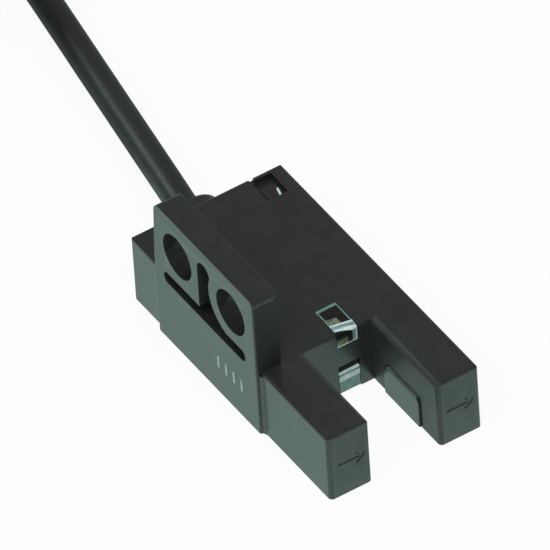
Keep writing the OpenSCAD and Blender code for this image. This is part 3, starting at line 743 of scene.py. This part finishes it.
guide = bench_copy("light_guide", "light_guide_moulding")
guide_low, guide_high = (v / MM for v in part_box("light_guide"))
guide_size = guide_high - guide_low
slant = 0.22
stripe_ends = (0.25, 0.46, 0.73, 0.9, 1.45)
side_rim, back_rim = 0.11, 0.24
olive_light_w, pale_w = 0.8, 0.35
step_top, glow_low, glow_high = 1.7, 0.95, 1.37
lip_z, olive_light_z = 4.0, 4.5
guide_edge_r, edge_zone = 0.09, 0.1
cuts = [((0, y, 0), (slant, 1, 0)) for y in stripe_ends]
cuts += [((0, guide_size.y - back_rim, 0), (0, 1, 0))]
side_cuts = (side_rim, olive_light_w, guide_size.x - pale_w, guide_size.x - side_rim)
cuts += [((x, 0, 0), (1, 0, 0)) for x in side_cuts]
cuts += [((0, 0, z), (0, 0, 1)) for z in (glow_low, glow_high, step_top, lip_z, olive_light_z)]
cut_faces(guide, [(guide_low + Vector(place), direction) for place, direction in cuts])
soften(guide, width=guide_edge_r, segments=3)
hand_over(guide, clear_moulding, "clear_plastic", "light_guide")
print(f"light guide: {len(guide.data.polygons)} faces")

# %% Finishes of the guide's faces
for finish in (painted_highlight_moulding, painted_pale_light_moulding, painted_dim_light_moulding, painted_olive_light_moulding, painted_shade_backing):
    guide.data.materials.append(finish)
# besides the clear finish, each of the guide's finishes is painted light or painted shade
CLEAR, PAINTED_HIGHLIGHT, PAINTED_PALE_LIGHT, PAINTED_DIM_LIGHT, PAINTED_OLIVE_LIGHT, PAINTED_SHADE = range(6)


def roof_finish(x, y):
    """Finish of the guide's top, by the place from its left front corner."""
    depth = y + slant * x
    stripe = sum(depth > end for end in stripe_ends)
    if stripe < 4:
        return (CLEAR, PAINTED_HIGHLIGHT, PAINTED_PALE_LIGHT, PAINTED_HIGHLIGHT)[stripe]
    if y > guide_size.y - back_rim or x < side_rim or x > guide_size.x - side_rim:
        return PAINTED_DIM_LIGHT
    return PAINTED_OLIVE_LIGHT if stripe == 4 and x < olive_light_w else CLEAR


def front_finish(x, z):
    """Finish of the guide's front, by the place from its left lower corner."""
    if z < guide_size.z / 2:
        return PAINTED_HIGHLIGHT if glow_low < z < glow_high else PAINTED_DIM_LIGHT
    if z < lip_z or x > guide_size.x - side_rim:
        return PAINTED_HIGHLIGHT
    if x > guide_size.x - pale_w:
        return PAINTED_PALE_LIGHT
    return PAINTED_OLIVE_LIGHT if z < olive_light_z and x < olive_light_w else CLEAR


def guide_finish(middle, normal):
    """Which finish a face of the guide has, by its place and direction."""
    x, y, z = middle - guide_low
    if normal.z > facing and z > guide_size.z / 2:
        return roof_finish(x, y)
    if normal.y < -facing and normal.z > facing:
        return PAINTED_HIGHLIGHT if z < step_top else PAINTED_SHADE
    if normal.y < -facing and y < edge_zone:
        return front_finish(x, z)
    return PAINTED_DIM_LIGHT if z > guide_size.z - edge_zone else PAINTED_SHADE


for face in guide.data.polygons:
    face.material_index = guide_finish(face.center, face.normal)
rescale(guide, MM)
print(f"light guide: {len(guide.data.materials)} finishes")

# %% [markdown]
# ## The rear lens
# The small rear lens sits in a pocket of the roof. The lamp under it is off and the inside is dark,
# so the lens gets painted shade, a dark opaque finish, and only a short streak near its right rim is
# pale. A lamp in the scene could make that streak, but it would move with every change of the
# lighting. So the streak is cut into the top face and painted as a highlight, with the guide's
# painted highlight finish.

# %% Lens with its streak
lens = bench_copy("indicator_lens", "indicator_lens_moulding")
lens_low, lens_high = (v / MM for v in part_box("indicator_lens"))
streak_w, streak_lean = 0.15, 0.27
streak_from_right, streak_from_back = 0.53, 0.55
streak_back = lens_high.y - streak_from_back
streak_left = Vector((lens_high.x - streak_from_right, lens_low.y, 0))
streak_right = streak_left + Vector((streak_w, 0, 0))
across = Vector((1, -streak_lean, 0))
cut_faces(lens, [(streak_left, across), (streak_right, across), ((0, streak_back, 0), (0, 1, 0))])
soften(lens, width=0.07, segments=3)
hand_over(lens, painted_dark_inside_moulding, "clear_plastic", "indicator_lens")
lens.data.materials.append(painted_highlight_moulding)
# painted highlight: the streak's upward faces get the pale finish in place of a glint
for face in lens.data.polygons:
    aside = (face.center - streak_left).dot(across)
    in_streak = 0 < aside < streak_w and face.center.y < streak_back
    face.material_index = int(face.normal.z > facing and in_streak)
rescale(lens, MM)
print(f"lens: {len(lens.data.polygons)} faces")

# %% [markdown]
# ## Printed bars
# The lower part of the ear carries a small pale print, a row of four plain bars, which a laser draws
# into the plastic. A texture could paint them, but a thin raised shape stays sharp from near:
# one bar is drawn as a flat rectangle, rounded, raised, and then copied along the row.

# %% Row of bars
bar_h, bar_w, bar_t = 0.95, 0.24, 0.025
bar_count, bar_pitch = 4, 0.87
bar_round = 0.4 * bar_w
bar_sink, first_y, middle_z = 0.01, 0.82, 2.68
first_bar = Vector((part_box("housing")[0].x / MM + bar_sink, first_y, middle_z))
bpy.ops.object.select_all(action="DESELECT")
bpy.ops.mesh.primitive_plane_add(size=1, location=(0, 0, 0))
bars = bpy.context.object
bars.name = "ear_print"
bpy.ops.object.mode_set(mode="EDIT")
bpy.ops.mesh.select_all(action="SELECT")
bpy.ops.transform.resize(value=(bar_h, bar_w, 1))
bpy.ops.mesh.bevel(affect="VERTICES", offset=bar_round, segments=4)
bpy.ops.mesh.extrude_region_move(TRANSFORM_OT_translate={"value": (0, 0, bar_t)})
bpy.ops.mesh.select_all(action="SELECT")
bpy.ops.mesh.normals_make_consistent(inside=False)
bpy.ops.object.mode_set(mode="OBJECT")
bars.rotation_euler = (0, -math.pi / 2, 0)
bars.location = first_bar
bpy.ops.object.transform_apply(location=True, rotation=True, scale=True)
bpy.ops.object.mode_set(mode="EDIT")
bpy.ops.mesh.select_all(action="SELECT")
for _ in range(bar_count - 1):
    bpy.ops.mesh.duplicate_move(TRANSFORM_OT_translate={"value": (0, -bar_pitch, 0)})
bpy.ops.object.mode_set(mode="OBJECT")
rescale(bars, MM)
hand_over(bars, laser_mark, "housing_black")
print(f"print of {bar_count} bars: {len(bars.data.polygons)} faces")

# %% [markdown]
# ## The band round the coil
# A flat plastic band keeps the coil together. It could be bent from a strip round the turns, but the
# CAD loop already has its size, so a copy of it only gets the rounded edges of an extruded strip.

# %% Coil band
band = bench_copy("coil_tie", "coil_band")
soften(band, width=0.12, segments=3)
rescale(band, MM)
hand_over(band, band_plastic, "tie_black", "coil_tie")
print(f"band: {len(band.data.polygons)} faces")

# %% [markdown]
# ## The cable's diameter
# A cable is the one part of this object that a user lays anew. It could stay a rigid coil, but then
# nobody could tell what it measures. Its length is printed with its route, and its diameter here.

print(f"cord of {cable_d / MM:.1f} mm diameter")

# %% [markdown]
# ## What is inside
# The board with its parts, the crimped cable root and the cores are shut in, and show only when a
# user takes the cover off. They could be modelled again with every pad, but nobody can see the real
# circuit, so their plain CAD packages stay, and each gets the finish of its own material.

# %% Finishes of the inner parts
inner_finishes = {
    "circuit_board": board_mask,
    "emitter": emitter_resin,
    "emitter_leads": tinned,
    "receiver": receiver_resin,
    "receiver_leads": tinned,
    "driver_chip": chip_epoxy,
    "output_transistor": chip_epoxy,
    "protection_diode": chip_epoxy,
    "chip_resistors": chip_epoxy,
    "chip_capacitors": ceramic_tan,
    "guide_led": lamp_resin,
    "indicator_led": lamp_resin,
    "solder_joints": tinned,
    "cable_root": jacket,
    "crimp_ring": tinned,
    **{f"{colour}_core": core_finishes[colour] for colour in core_colours},
}
for node, finish in inner_finishes.items():
    cad[node].data.materials.clear()
    cad[node].data.materials.append(finish)
print(f"{len(inner_finishes)} inner nodes finished")

# %% [markdown]
# ## The studio floor
# The picture is a cut-out on white. A floor that glows white to the camera and to mirrors gives
# that, and it still takes a part of the real light, so the object keeps a soft shadow.
# The black plastic gets its shape from what it mirrors: its sides mirror the floor, so they are
# lighter than its top. The picture's greys are slightly green, and the ear's far edge is dark. Tinted
# screens round the object could give that. It is easier to tint the floor for mirrors only: green-white
# near the object, and darker beyond its right side.

# %% Floor
WHITE = (1, 1, 1, 1)
floor_w, floor_drop = 1.2, 0.02 * MM
bpy.ops.object.select_all(action="DESELECT")
bpy.ops.mesh.primitive_plane_add(size=floor_w, location=(0, 0, -floor_drop))
floor = bpy.context.object
floor.name = "studio_floor"
floor_white = bpy.data.materials.new("floor_white")
floor_white.use_nodes = True
floor.data.materials.append(floor_white)
floor_tree = floor_white.node_tree
floor_tree.nodes.clear()
print(f"floor {floor.dimensions.x:.1f} m wide")

# %% Colour of the floor's glow
near_tint, far_tint = (0.7, 1, 0.9, 1), (0.28, 0.38, 0.35, 1)
far_start, far_end = 7.8 * MM, 12.8 * MM
far_way = (1, 0.6, 0)
place = floor_tree.nodes.new("ShaderNodeTexCoord")
away = floor_tree.nodes.new("ShaderNodeVectorMath")
away.operation = "DOT_PRODUCT"
away.inputs[1].default_value = far_way
fall = floor_tree.nodes.new("ShaderNodeMapRange")
fall.interpolation_type = "SMOOTHSTEP"
fall.inputs["From Min"].default_value = far_start
fall.inputs["From Max"].default_value = far_end
mirrored = floor_tree.nodes.new("ShaderNodeMixRGB")
mirrored.inputs["Color1"].default_value = near_tint
mirrored.inputs["Color2"].default_value = far_tint
tint = floor_tree.nodes.new("ShaderNodeMixRGB")
tint.inputs["Color2"].default_value = WHITE
rays = floor_tree.nodes.new("ShaderNodeLightPath")
glow = floor_tree.nodes.new("ShaderNodeEmission")
glow.inputs["Strength"].default_value = 1
floor_tree.links.new(place.outputs["Object"], away.inputs[0])
floor_tree.links.new(away.outputs["Value"], fall.inputs["Value"])
floor_tree.links.new(fall.outputs["Result"], mirrored.inputs["Fac"])
floor_tree.links.new(mirrored.outputs["Color"], tint.inputs["Color1"])
floor_tree.links.new(rays.outputs["Is Camera Ray"], tint.inputs["Fac"])
floor_tree.links.new(tint.outputs["Color"], glow.inputs["Color"])
print(f"glow darker from {far_start / MM:.1f} to {far_end / MM:.1f} mm on the far side")

# %% Paper and glow together
glow_share = 0.93
seen = rays.outputs["Is Camera Ray"]
for kind in ("Is Glossy Ray", "Is Transmission Ray"):
    either = floor_tree.nodes.new("ShaderNodeMath")
    either.operation = "MAXIMUM"
    floor_tree.links.new(seen, either.inputs[0])
    floor_tree.links.new(rays.outputs[kind], either.inputs[1])
    seen = either.outputs["Value"]
share = floor_tree.nodes.new("ShaderNodeMath")
share.operation = "MULTIPLY"
share.inputs[1].default_value = glow_share
paper = floor_tree.nodes.new("ShaderNodeBsdfDiffuse")
paper.inputs["Color"].default_value = WHITE
mixed = floor_tree.nodes.new("ShaderNodeMixShader")
out = floor_tree.nodes.new("ShaderNodeOutputMaterial")
floor_tree.links.new(seen, share.inputs[0])
floor_tree.links.new(share.outputs["Value"], mixed.inputs["Fac"])
floor_tree.links.new(paper.outputs["BSDF"], mixed.inputs[1])
floor_tree.links.new(glow.outputs["Emission"], mixed.inputs[2])
floor_tree.links.new(mixed.outputs["Shader"], out.inputs["Surface"])
print(f"floor of {len(floor_tree.nodes)} nodes, {glow_share:.0%} glow")

# %% [markdown]
# ## The room
# The flat tops mirror the room above, so its level sets how dark they are. A dim grey room gives the
# charcoal of the real part. The camera itself sees white wherever the floor ends.

# %% Room
room_level = 0.26
world = bpy.data.worlds.new("studio_room")
bpy.context.scene.world = world
world.use_nodes = True
room_tree = world.node_tree
room_tree.nodes.clear()
room = room_tree.nodes.new("ShaderNodeBackground")
room.inputs["Color"].default_value = WHITE
room.inputs["Strength"].default_value = room_level
white = room_tree.nodes.new("ShaderNodeBackground")
white.inputs["Color"].default_value = WHITE
white.inputs["Strength"].default_value = 1
rays = room_tree.nodes.new("ShaderNodeLightPath")
mixed = room_tree.nodes.new("ShaderNodeMixShader")
out = room_tree.nodes.new("ShaderNodeOutputWorld")
room_tree.links.new(rays.outputs["Is Camera Ray"], mixed.inputs["Fac"])
room_tree.links.new(room.outputs["Background"], mixed.inputs[1])
room_tree.links.new(white.outputs["Background"], mixed.inputs[2])
room_tree.links.new(mixed.outputs["Shader"], out.inputs["Surface"])
print(f"room of strength {room_level}")

# %% [markdown]
# ## The lamps
# A wide soft lamp above lights the colours, and mirrors don't see it, so the flat tops stay even.
# A round cable shows one narrow streak along its length, the mirror image of a lamp behind the
# object. That small lamp would also draw broken lines along the edges of the housing. Those
# could be softened away, but light linking is simpler: the lamp lights the cable and nothing else.

# %% Lamps
def soft_lamp(name, towards, distance, size, power):
    """A square lamp in that direction from the body, facing it."""
    towards = Vector(towards).normalized()
    bpy.ops.object.select_all(action="DESELECT")
    bpy.ops.object.light_add(
        type="AREA", location=towards * distance, rotation=towards.to_track_quat("Z", "Y").to_euler()
    )
    lamp = bpy.context.object
    lamp.name = name
    lamp.data.size = size
    lamp.data.energy = power
    return lamp


streak_lamp = soft_lamp("lamp_behind", towards=(-0.32, 0.76, 0.57), distance=0.3, size=0.06, power=0.2)
streak_lamp.data.color = (0.8, 1, 0.93)
lit_by_streak_lamp = bpy.data.collections.new("lit_by_streak_lamp")
lit_by_streak_lamp.objects.link(cable)
streak_lamp.light_linking.receiver_collection = lit_by_streak_lamp
lamp_above = soft_lamp("lamp_above", towards=(-0.35, -0.3, 1.0), distance=0.35, size=0.3, power=0.92)
lamp_above.visible_glossy = False
print(f"lamps: {streak_lamp.name}, {lamp_above.name}")
